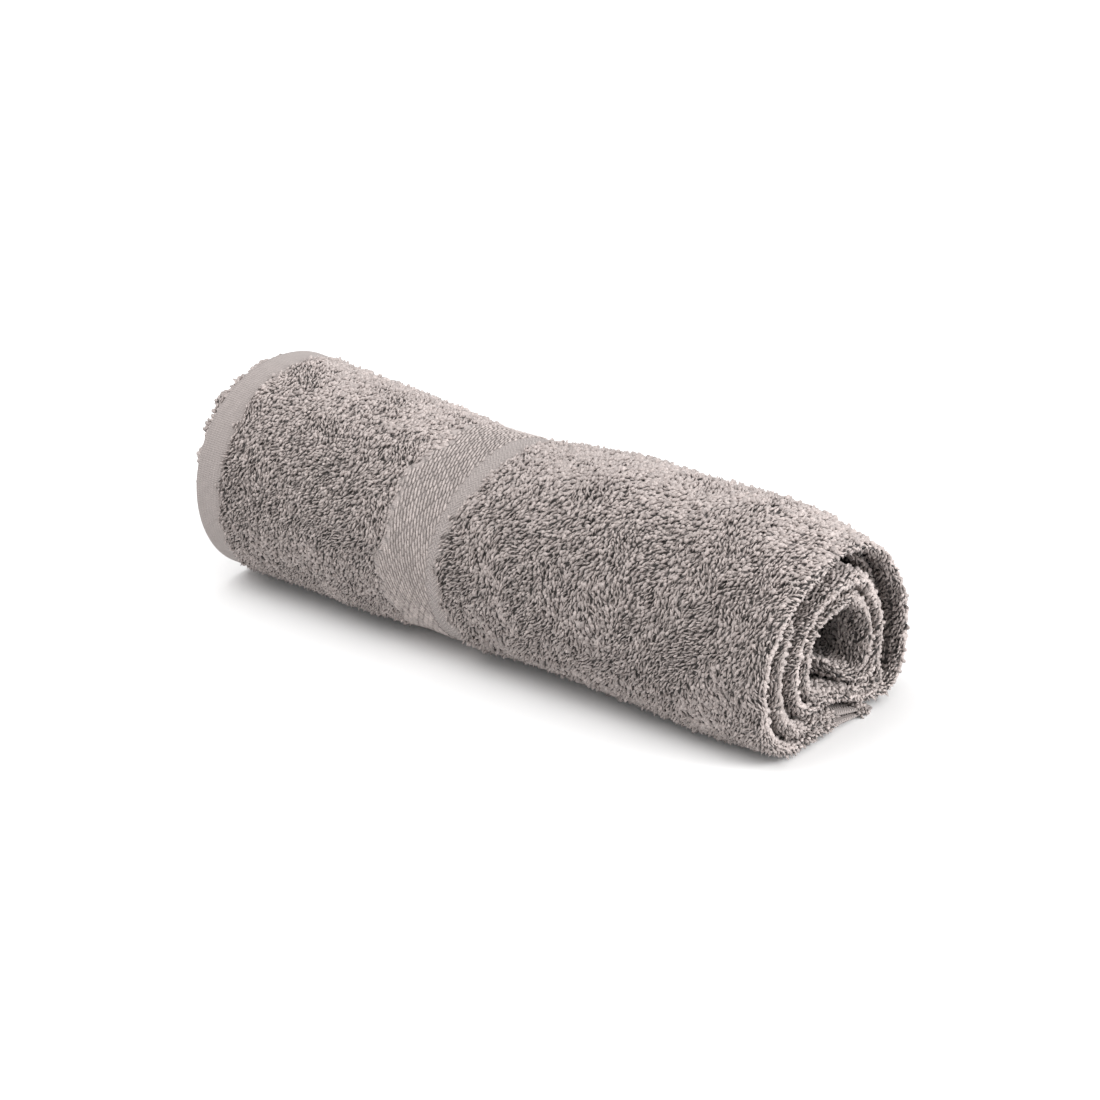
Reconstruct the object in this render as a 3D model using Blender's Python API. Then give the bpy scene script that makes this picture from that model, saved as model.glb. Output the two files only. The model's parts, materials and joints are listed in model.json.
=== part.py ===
"""Rolled bath towel: a terry cloth folded in four along its length, then rolled up across its width.

The roll lies along X. Its folded end is at +X and its hemmed end at -X. It rests on z = 0, with
the origin under the middle of its box. The cloth's four layers are one thick ribbon here, wound
inwards from the free side, which lies under the back of the roll.
"""

import bpy
import numpy as np

MM = 0.001

# The towel, folded in four along its length
TOWEL_LENGTH = 1.40
LAYERS = 4
ROLL_LENGTH = TOWEL_LENGTH / LAYERS
HALF_LENGTH = ROLL_LENGTH / 2

# The winding, in turns counted inwards from the free side
TURNS = 3.0
TURN_GAP = 2.0 * MM
STEP_BEFORE = 0.07
STEP_AFTER = 0.10
FREE_SIDE_ANGLE = np.radians(-54.0)
SIDE_ROUNDING = 0.010

# The outer contour along the roll, in millimetres. A section is four quarter ellipses through
# its top, front and back, on a flat that runs from flat_front to flat_back.
SECTION_COLUMNS = ("x", "top_z", "front_y", "back_y", "back_z", "flat_front")
SECTION_ROWS = (
    (-175, 111.5, -71.1, 55.0, 55.0, -22.1),
    (-125, 107.0, -69.1, 57.3, 50.9, -21.9),
    (-80, 103.6, -68.0, 59.3, 47.1, -26.2),
    (-45, 98.7, -66.5, 60.9, 44.2, -19.3),
    (-10, 101.1, -65.3, 62.5, 41.3, -20.3),
    (40, 106.6, -63.8, 64.8, 37.2, -18.6),
    (90, 105.4, -63.0, 67.1, 33.0, -23.6),
    (135, 105.1, -61.2, 68.4, 31.5, -30.1),
    (168, 96.5, -61.2, 64.0, 34.0, -27.9),
)
# The rest of the section changes evenly from the hemmed end to the folded end
EVEN_COLUMNS = {
    "top_y": (-10.0, 11.0),
    "front_z": (56.0, 38.0),
    "flat_back": (13.0, 47.0),
    "core_y": (-7.0, 4.0),
    "core_z": (52.0, 43.5),
}

# Half width and half height of the hollow inside the second turn and of the eye inside the third
HOLLOW_HALF = (20.0 * MM, 17.5 * MM)
EYE_HALF = (5.0 * MM, 4.5 * MM)
CORE_CLOSING = 0.3
# How far out of the hollow the second turn reaches, and how that changes round the roll
SECOND_TURN_SHARE = 0.51
# Each row is an angle, how far round it reaches and the change, in degrees and as a share
SHARE_ROWS = (
    (75.0, 45.0, 0.10),
    (180.0, 40.0, -0.07),
    (275.0, 45.0, -0.07),
)

# Flat-woven stretches, which lie lower than the pile
PILE_STEP = 1.6 * MM
HEM_WIDTH = 16.0 * MM
BAND_FROM = -57.0 * MM
BAND_TO = -15.0 * MM
STEP_LENGTH = 3.0 * MM

# The ends
RIM_DEPTH = 7.0 * MM
RIM_WAVE = 2.0 * MM
CRACK_SHALLOW = 0.35
CRACK_AT = 0.33
CRACK_REACH = 0.12
# Where the outer turn's inner fold stays back, in turns, and by how much
BACK_FROM = 0.47
BACK_TO = 0.93
BACK_SLOPE = 0.07
FOLD_BACK = 13.0 * MM
HEM_SHARE = 0.17
HEM_GROOVE = 5.0 * MM
CORE_RECESS = 34.0 * MM
RECESS_FROM = 1.95
RECESS_REACH = 0.30

STATIONS = (-164, -160, -157, -125, -95, -60, -56, -35, -16, -12, 10, 40, 90, 125, 150)
POINTS_PER_TURN = (54, 32, 20)

COTTON = (0.36, 0.32, 0.30)
COTTON_ROUGHNESS = 0.95


def clear_scene():
    for obj in list(bpy.data.objects):
        bpy.data.objects.remove(obj, do_unlink=True)


def smooth(t):
    t = np.clip(t, 0.0, 1.0)
    return t * t * (3.0 - 2.0 * t)


def section_column(name, x):
    """A column of the section table at x, through its rows with smooth slopes."""
    if name in EVEN_COLUMNS:
        share = (x + HALF_LENGTH) / ROLL_LENGTH
        start, end = EVEN_COLUMNS[name]
        return (start + (end - start) * share) * MM
    table = np.array(SECTION_ROWS) * MM
    along = table[:, 0]
    values = table[:, SECTION_COLUMNS.index(name)]
    slopes = np.gradient(values, along)
    row = int(np.clip(np.searchsorted(along, x) - 1, 0, len(along) - 2))
    step = along[row + 1] - along[row]
    t = np.clip((x - along[row]) / step, 0.0, 1.0)
    rise = values[row + 1] - values[row]
    bend = (1 - t) * (slopes[row] * step - rise) - t * (slopes[row + 1] * step - rise)
    return values[row] + rise * t + t * (1 - t) * bend


def outer_contour(x):
    """The section's outline at x, as points about the core."""
    y, z = section_column("core_y", x), section_column("core_z", x)
    top = section_column("top_y", x), section_column("top_z", x)
    front = section_column("front_y", x), section_column("front_z", x)
    back = section_column("back_y", x), section_column("back_z", x)
    flat_front, flat_back = section_column("flat_front", x), section_column("flat_back", x)
    turn = np.linspace(0.0, np.pi / 2, 40)
    c, s = np.cos(turn), np.sin(turn)
    arcs = (
        (flat_back + (back[0] - flat_back) * s, back[1] - back[1] * c),
        (top[0] + (back[0] - top[0]) * c, back[1] + (top[1] - back[1]) * s),
        (top[0] + (front[0] - top[0]) * s, front[1] + (top[1] - front[1]) * c),
        (flat_front + (front[0] - flat_front) * c, front[1] - front[1] * s),
    )
    return np.concatenate([np.stack(arc, axis=1) for arc in arcs]) - (y, z)


def outer_radius(x, angle):
    """The outline's radius at x, at an angle about the core."""
    points = outer_contour(x)
    angles = np.unwrap(np.arctan2(points[:, 1], points[:, 0]))
    turned = (angle - angles[0]) % (2 * np.pi) + angles[0]
    if turned > angles[-1]:
        return -section_column("core_z", x) / np.sin(turned)
    return np.interp(turned, angles, np.hypot(points[:, 0], points[:, 1]))


def ellipse_radius(half, angle):
    return 1.0 / np.hypot(np.cos(angle) / half[0], np.sin(angle) / half[1])


def layers_in(turns):
    """How many thicknesses of the wound ribbon lie outside the ribbon at this many turns.

    Each new turn passes under the one before it close to the free side, so the count rises in
    steps there and stays level round the rest of the roll.
    """
    count = 0.0
    for k in range(1, int(TURNS) + 2):
        count = count + smooth((turns - (k - STEP_BEFORE)) / (STEP_BEFORE + STEP_AFTER))
    return count


def second_turn_share(angle):
    share = SECOND_TURN_SHARE
    for centre, reach, change in SHARE_ROWS:
        off = (np.degrees(angle) - centre + 180.0) % 360.0 - 180.0
        share += change * np.exp(-((off / reach) ** 2))
    return share


def turn_radius(turns, x):
    """The radius of the ribbon's outer side."""
    angle = FREE_SIDE_ANGLE - 2 * np.pi * turns
    outer = outer_radius(x, angle)
    hollow = ellipse_radius(HOLLOW_HALF, angle)
    eye = ellipse_radius(EYE_HALF, angle)
    second = hollow + second_turn_share(angle) * (outer - hollow)
    count = layers_in(turns)
    knots = (outer, second, hollow, eye, eye * CORE_CLOSING)
    level = int(np.clip(np.floor(count), 0, len(knots) - 2))
    return knots[level] + (knots[level + 1] - knots[level]) * (count - level)


def flat_woven(x):
    """1 on the hem and the band, 0 on the pile."""
    hem_edge = -HALF_LENGTH + HEM_WIDTH
    hem = smooth((hem_edge - x) / STEP_LENGTH + 0.5)
    band = smooth((x - BAND_FROM) / STEP_LENGTH + 0.5) * smooth((BAND_TO - x) / STEP_LENGTH + 0.5)
    return np.maximum(hem, band)


def rim_waves(turns):
    """How far the folded ends of the turns stay back from the longest one."""
    waves = (np.sin(9.0 * turns + 0.6) + 0.6 * np.sin(23.0 * turns + 2.0)) / 1.6
    return RIM_WAVE * (waves - 1.0) / 2


def fold_back(turns):
    """How far the outer turn's inner fold stays back, in rim depths."""
    rise = smooth((turns - BACK_FROM) / BACK_SLOPE + 0.5)
    fall = smooth((BACK_TO - turns) / BACK_SLOPE + 0.5)
    return FOLD_BACK / RIM_DEPTH * rise * fall


def folded_end(turns):
    """Two folds side by side, as shares of the thickness and of the rim's depth.

    They part in a deep crack at the front of the roll. From the top to the back of the outer
    turn the inner fold stays back, and elsewhere the two lie close together.
    """
    open_share = np.exp(-(((turns - CRACK_AT) / CRACK_REACH) ** 2))
    back = fold_back(turns)
    crack = CRACK_SHALLOW + (1.0 - CRACK_SHALLOW) * max(open_share, min(back, 1.0))
    half_fold = [(0.25 * (1 - np.cos(t)), 1 - np.sin(t)) for t in np.radians((0, 28, 60, 90))]
    to_crack = [(0.5 - share, drop * crack) for share, drop in half_fold[:-1]]
    outer_fold = half_fold + to_crack[::-1]
    inner_fold = [(1.0 - share, drop + back) for share, drop in outer_fold[:-1]]
    return outer_fold + inner_fold[::-1]


def hemmed_end():
    """A hem, the fold between the two hems and the other hem, on the same measures."""
    groove = HEM_GROOVE / RIM_DEPTH
    outer_half = [(0.0, 0.2), (HEM_SHARE, 0.2), (HEM_SHARE * 1.2, groove), (0.34, 0.1)]
    inner_half = [(1.0 - share, drop) for share, drop in outer_half]
    return inner_half + [(0.5, 0.0)] + outer_half[::-1]


def side_taper(turns):
    """Thins the ribbon at its two side edges, so that they are rounded."""
    edge = np.minimum(turns, TURNS - turns) / SIDE_ROUNDING
    return 0.5 + 0.5 * np.sqrt(1.0 - (1.0 - np.clip(edge, 0.0, 1.0)) ** 2)


def ribbon_point(turns, x, depth):
    """A point of the ribbon, with depth from 0 on its outer side to 1 on its inner side."""
    outer = turn_radius(turns, x) - PILE_STEP * flat_woven(x) * (depth == 0.0)
    inner = turn_radius(turns + 1.0, x) + TURN_GAP
    middle = (outer + inner) / 2
    radius = middle + (outer - inner) * (0.5 - depth) * side_taper(turns)
    angle = FREE_SIDE_ANGLE - 2 * np.pi * turns
    y = section_column("core_y", x) + radius * np.cos(angle)
    z = section_column("core_z", x) + radius * np.sin(angle)
    return x, y, max(z, 0.0)


def ribbon_profile(turns):
    """The closed outline of the ribbon across its width in X, at one place along the winding."""
    recess = CORE_RECESS * smooth((turns - RECESS_FROM) / RECESS_REACH)
    near = HALF_LENGTH - recess + rim_waves(turns)
    far = -HALF_LENGTH
    span = (near - far) / ROLL_LENGTH
    rows = [(far + (x * MM + HALF_LENGTH) * span, 0.0) for x in STATIONS]
    rows += [(near - RIM_DEPTH * drop, depth) for depth, drop in folded_end(turns)]
    rows += [(far + (x * MM + HALF_LENGTH) * span, 1.0) for x in reversed(STATIONS)]
    rows += [(far + RIM_DEPTH * drop, depth) for depth, drop in hemmed_end()]
    return [ribbon_point(turns, x, depth) for x, depth in rows]


def winding_places():
    """Where the ribbon has a ring of points, closer together at its two side edges."""
    places = [0.0, SIDE_ROUNDING * 0.4, SIDE_ROUNDING]
    for turn, count in enumerate(POINTS_PER_TURN):
        places += [turn + (i + 1) / count for i in range(count)]
    places = [p for p in places if p < TURNS - SIDE_ROUNDING * 1.5]
    return places + [TURNS - SIDE_ROUNDING, TURNS - SIDE_ROUNDING * 0.4, TURNS]


def wound_ribbon(name):
    rings = [ribbon_profile(turns) for turns in winding_places()]
    size = len(rings[0])
    vertices = [point for ring in rings for point in ring]
    faces = []
    for ring in range(len(rings) - 1):
        for i in range(size):
            j = (i + 1) % size
            a, b = ring * size, (ring + 1) * size
            faces.append((a + i, a + j, b + j, b + i))
    last = (len(rings) - 1) * size
    faces.append(tuple(reversed(range(size))))
    faces.append(tuple(range(last, last + size)))
    mesh = bpy.data.meshes.new(name)
    mesh.from_pydata(vertices, [], faces)
    mesh.update()
    mesh.shade_smooth()
    return bpy.data.objects.new(name, mesh)


def centre_on_floor(obj):
    """Puts the middle of the object's box over the origin."""
    points = np.array([v.co for v in obj.data.vertices])
    low, high = points.min(axis=0), points.max(axis=0)
    middle = (low + high) / 2
    for vertex in obj.data.vertices:
        vertex.co.x -= middle[0]
        vertex.co.y -= middle[1]
        vertex.co.z -= low[2]


def cotton_material():
    material = bpy.data.materials.new("cotton_terry")
    material.use_nodes = True
    shader = material.node_tree.nodes["Principled BSDF"]
    shader.inputs["Base Color"].default_value = (*COTTON, 1.0)
    shader.inputs["Roughness"].default_value = COTTON_ROUGHNESS
    shader.inputs["Metallic"].default_value = 0.0
    return material


def main():
    clear_scene()
    collection = bpy.data.collections.new("rolled_bath_towel")
    bpy.context.scene.collection.children.link(collection)
    roll = wound_ribbon("towel_roll")
    centre_on_floor(roll)
    roll.data.materials.append(cotton_material())
    collection.objects.link(roll)


main()
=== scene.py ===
import json
import math

import bpy
import numpy as np
from mathutils import Matrix, Vector

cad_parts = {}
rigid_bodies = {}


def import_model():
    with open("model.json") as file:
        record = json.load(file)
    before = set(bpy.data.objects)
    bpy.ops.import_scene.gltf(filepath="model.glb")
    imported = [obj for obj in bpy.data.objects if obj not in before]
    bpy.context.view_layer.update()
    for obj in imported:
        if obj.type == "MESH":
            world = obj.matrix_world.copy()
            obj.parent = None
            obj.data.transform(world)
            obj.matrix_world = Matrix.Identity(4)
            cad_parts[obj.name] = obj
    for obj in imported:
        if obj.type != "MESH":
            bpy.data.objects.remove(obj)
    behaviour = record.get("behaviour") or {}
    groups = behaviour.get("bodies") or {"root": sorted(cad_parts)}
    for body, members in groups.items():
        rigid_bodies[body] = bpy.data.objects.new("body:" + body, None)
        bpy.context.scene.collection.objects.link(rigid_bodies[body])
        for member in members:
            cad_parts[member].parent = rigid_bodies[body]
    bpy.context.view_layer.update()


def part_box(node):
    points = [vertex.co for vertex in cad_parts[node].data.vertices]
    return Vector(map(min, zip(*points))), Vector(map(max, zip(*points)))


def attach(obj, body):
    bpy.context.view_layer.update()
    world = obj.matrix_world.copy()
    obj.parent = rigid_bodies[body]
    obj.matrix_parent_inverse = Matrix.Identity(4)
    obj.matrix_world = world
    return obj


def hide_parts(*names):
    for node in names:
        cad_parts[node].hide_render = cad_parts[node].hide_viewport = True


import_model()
mm = 0.001
floorGap = 0.1 * mm                        # nothing lies lower than this

# The roll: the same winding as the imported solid. It lies along X, its folded end at +X and its
# hemmed end at -X. A section is four quarter ellipses about a flat, in millimetres.

roll = {
    "length": 0.35,
    "turns": 3.0,                          # counted inwards from the free side
    "turnGap": 2.0 * mm,
    "stepBefore": 0.07,                    # where each turn passes under the one before it
    "stepAfter": 0.10,
    "freeSideAngle": math.radians(-54.0),
    "sideRounding": 0.010,
    "hollowHalf": (20.0 * mm, 17.5 * mm),
    "eyeHalf": (5.0 * mm, 4.5 * mm),
    "coreClosing": 0.3,
    "secondTurnShare": 0.51,
    "shareRows": ((75.0, 45.0, 0.10), (180.0, 40.0, -0.07), (275.0, 45.0, -0.07)),
    "rimWave": 2.0 * mm,                   # how far the folded ends stay back from the longest
    "rimWaves": ((9.0, 0.6, 1.0), (23.0, 2.0, 0.6)),       # waves, phase, share
    "foldBack": 13.0 * mm,                 # the outer turn's inner fold, from top to back
    "backFrom": 0.47,
    "backTo": 0.93,
    "backSlope": 0.07,
    "coreRecess": 34.0 * mm,
    "recessFrom": 1.95,
    "recessReach": 0.30,
}
sectionColumns = ("x", "topZ", "frontY", "backY", "backZ", "flatFront")
sectionRows = (
    (-175, 111.5, -71.1, 55.0, 55.0, -22.1),
    (-125, 107.0, -69.1, 57.3, 50.9, -21.9),
    (-80, 103.6, -68.0, 59.3, 47.1, -26.2),
    (-45, 98.7, -66.5, 60.9, 44.2, -19.3),
    (-10, 101.1, -65.3, 62.5, 41.3, -20.3),
    (40, 106.6, -63.8, 64.8, 37.2, -18.6),
    (90, 105.4, -63.0, 67.1, 33.0, -23.6),
    (135, 105.1, -61.2, 68.4, 31.5, -30.1),
    (168, 96.5, -61.2, 64.0, 34.0, -27.9),
)
evenColumns = {                            # from the hemmed end to the folded end
    "topY": (-10.0, 11.0),
    "frontZ": (56.0, 38.0),
    "flatBack": (13.0, 47.0),
    "coreY": (-7.0, 4.0),
    "coreZ": (52.0, 43.5),
}
halfLength = roll["length"] / 2


def ease(t):
    t = np.clip(t, 0.0, 1.0)
    return t * t * (3.0 - 2.0 * t)


def sectionColumn(name, x):
    if name in evenColumns:
        start, end = evenColumns[name]
        return (start + (end - start) * (x / roll["length"] + 0.5)) * mm
    table = np.array(sectionRows) * mm
    along = table[:, 0]
    values = table[:, sectionColumns.index(name)]
    slopes = np.gradient(values, along)
    row = np.clip(np.searchsorted(along, x) - 1, 0, len(along) - 2)
    step = along[row + 1] - along[row]
    t = np.clip((x - along[row]) / step, 0.0, 1.0)
    rise = values[row + 1] - values[row]
    bend = (1 - t) * (slopes[row] * step - rise) - t * (slopes[row + 1] * step - rise)
    return values[row] + rise * t + t * (1 - t) * bend


def outlineRadius(x, angles):              # the section's outline at one x, about the core
    names = ("topY", "topZ", "frontY", "frontZ", "backY", "backZ", "flatFront", "flatBack", "coreY", "coreZ")
    at = {name: float(sectionColumn(name, x)) for name in names}
    turn = np.linspace(0.0, math.pi / 2, 60)
    c, s = np.cos(turn), np.sin(turn)
    arcs = (
        (at["flatBack"] + (at["backY"] - at["flatBack"]) * s, at["backZ"] * (1 - c)),
        (at["topY"] + (at["backY"] - at["topY"]) * c, at["backZ"] + (at["topZ"] - at["backZ"]) * s),
        (at["topY"] + (at["frontY"] - at["topY"]) * s, at["frontZ"] + (at["topZ"] - at["frontZ"]) * c),
        (at["flatFront"] + (at["frontY"] - at["flatFront"]) * c, at["frontZ"] * (1 - s)),
    )
    points = np.concatenate([np.stack(arc, axis=1) for arc in arcs]) - (at["coreY"], at["coreZ"])
    around = np.unwrap(np.arctan2(points[:, 1], points[:, 0]))
    turned = (angles - around[0]) % (2 * math.pi) + around[0]
    onFlat = -at["coreZ"] / np.minimum(np.sin(turned), -0.01)
    return np.where(turned > around[-1], onFlat, np.interp(turned, around, np.hypot(*points.T)))


outlineX = np.linspace(-halfLength, halfLength, 141)
outlineAngles = np.linspace(0.0, 2 * math.pi, 721)
outlineTable = np.array([outlineRadius(x, outlineAngles) for x in outlineX])


def outerRadius(angle, x):                 # read between the table's rows and columns
    i = np.clip((x + halfLength) / roll["length"] * (len(outlineX) - 1), 0, len(outlineX) - 1.001)
    j = (angle % (2 * math.pi)) / (2 * math.pi) * (len(outlineAngles) - 1)
    i0, j0 = i.astype(int), np.minimum(j.astype(int), len(outlineAngles) - 2)
    a, b = i - i0, j - j0
    low = outlineTable[i0, j0] * (1 - b) + outlineTable[i0, j0 + 1] * b
    high = outlineTable[i0 + 1, j0] * (1 - b) + outlineTable[i0 + 1, j0 + 1] * b
    return low * (1 - a) + high * a


def windingAngle(turns):
    return roll["freeSideAngle"] - 2 * math.pi * turns


def ellipseRadius(half, angle):
    return 1.0 / np.hypot(np.cos(angle) / half[0], np.sin(angle) / half[1])


def turnRadius(turns, x):                  # of the wound ribbon's outer side
    angle = windingAngle(turns)
    outer = outerRadius(angle, x)
    hollow = ellipseRadius(roll["hollowHalf"], angle)
    eye = ellipseRadius(roll["eyeHalf"], angle)
    share = roll["secondTurnShare"]
    for centre, reach, change in roll["shareRows"]:
        off = (np.degrees(angle) - centre + 180.0) % 360.0 - 180.0
        share = share + change * np.exp(-((off / reach) ** 2))
    second = hollow + share * (outer - hollow)
    reach = roll["stepBefore"] + roll["stepAfter"]
    count = sum(ease((turns - (k - roll["stepBefore"])) / reach) for k in range(1, int(roll["turns"]) + 2))
    knots = np.stack([outer, second, hollow, eye, eye * roll["coreClosing"]])
    level = np.clip(np.floor(count), 0, len(knots) - 2).astype(int)
    first = np.take_along_axis(knots, level[None], axis=0)[0]
    following = np.take_along_axis(knots, level[None] + 1, axis=0)[0]
    return first + (following - first) * (count - level)


def ribbonSides(turns, x):                 # where the four layers' outer side lies, and their thickness
    outer = turnRadius(turns, x)
    inner = turnRadius(turns + 1.0, x) + roll["turnGap"]
    edge = np.clip(np.minimum(turns, roll["turns"] - turns) / roll["sideRounding"], 0.0, 1.0)
    thick = (outer - inner) * (0.5 + 0.5 * np.sqrt(1.0 - (1.0 - edge) ** 2))
    return (outer + inner + thick) / 2, thick


def foldedEnd(turns):                      # where the longest fold of the folded end lies
    waves = sum(share * np.sin(count * turns + phase) for count, phase, share in roll["rimWaves"])
    waves = waves / sum(share for count, phase, share in roll["rimWaves"])
    recess = roll["coreRecess"] * ease((turns - roll["recessFrom"]) / roll["recessReach"])
    return halfLength - recess + roll["rimWave"] * (waves - 1.0) / 2


def innerFoldBack(turns):
    rise = ease((turns - roll["backFrom"]) / roll["backSlope"] + 0.5)
    fall = ease((roll["backTo"] - turns) / roll["backSlope"] + 0.5)
    return roll["foldBack"] * rise * fall


# The cloth: one sheet, folded in four along its length and wound up with the roll

cloth = {
    "width": 0.60,
    "length": 1.40,
    "halfThick": 0.45 * mm,
    "halfShare": 0.1,                      # the most that half a layer takes of the four layers' depth
    "pileDepth": 2.1 * mm,                 # from the tips of the pile to its ground
    "pileRoom": 0.2,                       # the most that this depth takes, where the four are thick
    "pileFrom": 10.5 * mm,                 # and it takes less where they are thinner than this
    "pairShare": 0.12,                     # how far the middle two layers lie from the middle
    "fullFrom": 11.0 * mm,                 # where the four are thinner than this, so is each layer
    "thinning": 1.3,
    "hemWidth": 16.0 * mm,
    "hemWave": (31.0, 0.4 * mm),           # of the hem's inner edge: waves, height
    "hemRise": 1.0 * mm,                   # over the ground of the pile
    "bandRise": 0.75 * mm,
    "backShare": 0.3,                      # how much of these rises the cloth's other face has
    "edgeRound": 1.2 * mm,
    "edgeLeast": 0.02,
    "stepLength": 2.0 * mm,
    "sideHem": 11.0 * mm,
    "foldNose": 4.5 * mm,
    "farBack": 1.0 * mm,                   # how far the fold between the hems stays back from them
    "smoothFrom": (152.0 * mm, 4.0 * mm),  # x and y of a smooth turned corner under the folded end
    "smoothTo": 25.0 * mm,
    "smoothTop": 11.0 * mm,
    "smoothFades": (4.0 * mm, 3.0 * mm),
    "flatReach": 8.0 * mm,                 # the furthest that fromFlat goes to
    "lumpsFrom": 8.0 * mm,                 # the lumps fade out where the four layers are thinner
    "innerSpan": 342.0 * mm,
    "rings": (96, 60, 36),
    "edgeRings": (0.002, 0.005),           # extra rings at the two side edges, in turns
    "edgeClear": 0.01,
}
farPoke = {                                # how the fold between the hems comes forward at the upper front
    "depth": 8.5 * mm,
    "fades": ((60.0, 25.0), (200.0, 30.0)),                # degrees and reach, where it starts and ends
    "level": 0.75,
    "waves": (23.0, 0.2),
    "peak": (127.0, 9.0, 0.3),             # degrees, reach, height
}
lumps = {                                  # the slight lumps of a cloth rolled by hand
    "height": 0.28 * mm,
    "waves": ((52.0, 2.0, 0.4, 1.0), (95.0, -3.0, 1.7, 0.8), (140.0, 5.0, 2.9, 0.6)),
}
bandEdges = {                              # where the woven band starts and ends, in mm
    "from": -57.0,
    "fromWaves": ((7.0, 2.2, 0.8), (17.0, 1.2, 2.0)),      # waves a turn, height, phase
    "toAngles": (-30.0, 90.0, 135.0, 175.0, 205.0, 230.0, 300.0),
    "toPlaces": (-14.0, -11.0, -16.0, -21.0, -14.0, -9.0, -14.0),
}
outerStations = (                          # x of the lines along the outermost layer, in mm
    -175.0, -174.7, -174.0, -172.5, -168.0, -163.0, -160.2, -159.2, -158.2, -155.0, -148.0, -138.0,
    -126.0, -112.0, -98.0, -84.0, -72.0, -64.0, -61.0, -59.0, -57.0, -55.0, -53.0, -50.0, -43.0,
    -36.0, -29.0, -24.0, -21.0, -18.0, -15.5, -13.0, -10.5, -8.0, 0.0, 12.0, 26.0, 42.0, 58.0, 74.0,
    90.0, 106.0, 120.0, 132.0, 142.0, 150.0, 157.0, 162.0, 165.0,
)
innerStations = (                          # and along the innermost
    -175.0, -174.7, -174.0, -172.5, -163.0, -159.2, -156.0, -140.0, -110.0, -80.0, -60.0, -54.0, -34.0, -18.0,
    -10.0, 20.0, 60.0, 100.0, 130.0, 142.0, 150.0, 157.0, 162.0, 165.0,
)
innerShares = (                            # the lines along the two between them, from fold to fold
    0.015, 0.035, 0.06, 0.10, 0.15, 0.20, 0.27, 0.34, 0.41, 0.48, 0.54, 0.59, 0.63, 0.67, 0.72, 0.78, 0.84,
    0.90, 0.96,
)
noseTurns = np.linspace(0.0, math.pi, 9)


def bandSides(turns):                      # x of the band's two edges
    angle = windingAngle(turns)
    start = bandEdges["from"] + sum(h * np.sin(n * angle + phase) for n, h, phase in bandEdges["fromWaves"])
    end = np.interp(np.degrees(angle), bandEdges["toAngles"], bandEdges["toPlaces"], period=360.0)
    return start * mm, end * mm


def fromFlat(x, turns):                    # distance of the pile from the hem and the band, below 0 on them
    start, end = bandSides(turns)
    count, height = cloth["hemWave"]
    fromHem = x + halfLength - cloth["hemWidth"] - height * np.sin(count * windingAngle(turns))
    fromBand = np.maximum(start - x, x - end)
    return fromHem, fromBand


def flatShare(x, turns):                   # 1 on the hem and the band, 0 on the pile
    fromHem, fromBand = fromFlat(x, turns)
    step = cloth["stepLength"]
    return ease(0.5 - fromHem / step), ease(0.5 - fromBand / step)


def pokeShare(angle):                      # 0 where the far fold stays back, 1 where it is furthest out
    (first, fadeIn), (last, fadeOut) = farPoke["fades"]
    count, height = farPoke["waves"]
    centre, reach, peak = farPoke["peak"]
    waves = farPoke["level"] + height * np.sin(count * np.radians(angle))
    waves = waves + peak * np.exp(-((angle - centre) / reach) ** 2)
    return ease((angle - first) / fadeIn) * ease((last - angle) / fadeOut) * waves


def clothLines(turns):
    # x of every line of points along the cloth, and its shares of the four layers' depths
    near = foldedEnd(turns)
    span = (near + halfLength) / roll["length"]
    firstNose = near - cloth["pileDepth"] - cloth["foldNose"]
    secondNose = firstNose - innerFoldBack(turns)
    angle = np.degrees(windingAngle(turns)) % 360.0
    poke = farPoke["depth"] * pokeShare(angle) * (turns < 1.0)
    farNose = -halfLength + cloth["foldNose"] + cloth["farBack"] - poke
    stations = np.array(outerStations) * mm + halfLength
    inside = np.array(innerStations[::-1]) * mm + halfLength
    shares = np.array(innerShares)
    innerSpan = np.minimum(span, (secondNose + halfLength) / cloth["innerSpan"])
    sine = cloth["foldNose"] * np.sin(noseTurns)
    runs = [
        ("outer", -halfLength + stations * span, (1, 0, 0, 0)),
        ("firstNose", firstNose + sine, (1, 1, 0, 0)),
        ("second", firstNose + (farNose - firstNose) * shares, (0, 1, 0, 0)),
        ("farNose", farNose - sine, (0, 1, 1, 0)),
        ("third", farNose + (secondNose - farNose) * (1 - shares[::-1]), (0, 0, 1, 0)),
        ("secondNose", secondNose + sine, (0, 0, 1, 1)),
        ("inner", -halfLength + inside * innerSpan, (0, 0, 0, 1)),
    ]
    x, weights, names = [], [], []
    for name, places, layers in runs:
        count = places.shape[1]
        x.append(places)
        names += [name] * count
        share = (1 - np.cos(noseTurns)) / 2 if "Nose" in name else np.zeros(count)
        at = layers.index(1)
        table = np.zeros((count, 4))
        table[:, at] = 1 - share
        if "Nose" in name:
            table[:, at + 1] = share
        weights.append(table)
    return np.concatenate(x, axis=1), np.concatenate(weights), np.array(names)


def layerDepths(thick):
    half = np.minimum(cloth["halfThick"], cloth["halfShare"] * thick)
    room = cloth["pileRoom"] * thick * np.minimum(thick / cloth["pileFrom"], 1.0)
    pile = np.minimum(cloth["pileDepth"], room) + half
    pair = cloth["pairShare"] * thick
    return np.stack([pile, thick / 2 - pair, thick / 2 + pair, thick - pile], axis=-1)


def sidePlaces():                          # rings closer together at the two side edges
    places = [0.0, *cloth["edgeRings"]]
    for turn, count in enumerate(cloth["rings"]):
        places += [turn + (i + 1) / count for i in range(count)]
    last = roll["turns"]
    places = [p for p in places if p < last - cloth["edgeClear"]]
    return np.array(places + [last - p for p in cloth["edgeRings"][::-1]] + [last])


def lumpHeight(x, angle):
    return lumps["height"] * sum(
        share * np.sin(along * x + around * angle + phase) for along, around, phase, share in lumps["waves"])


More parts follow.
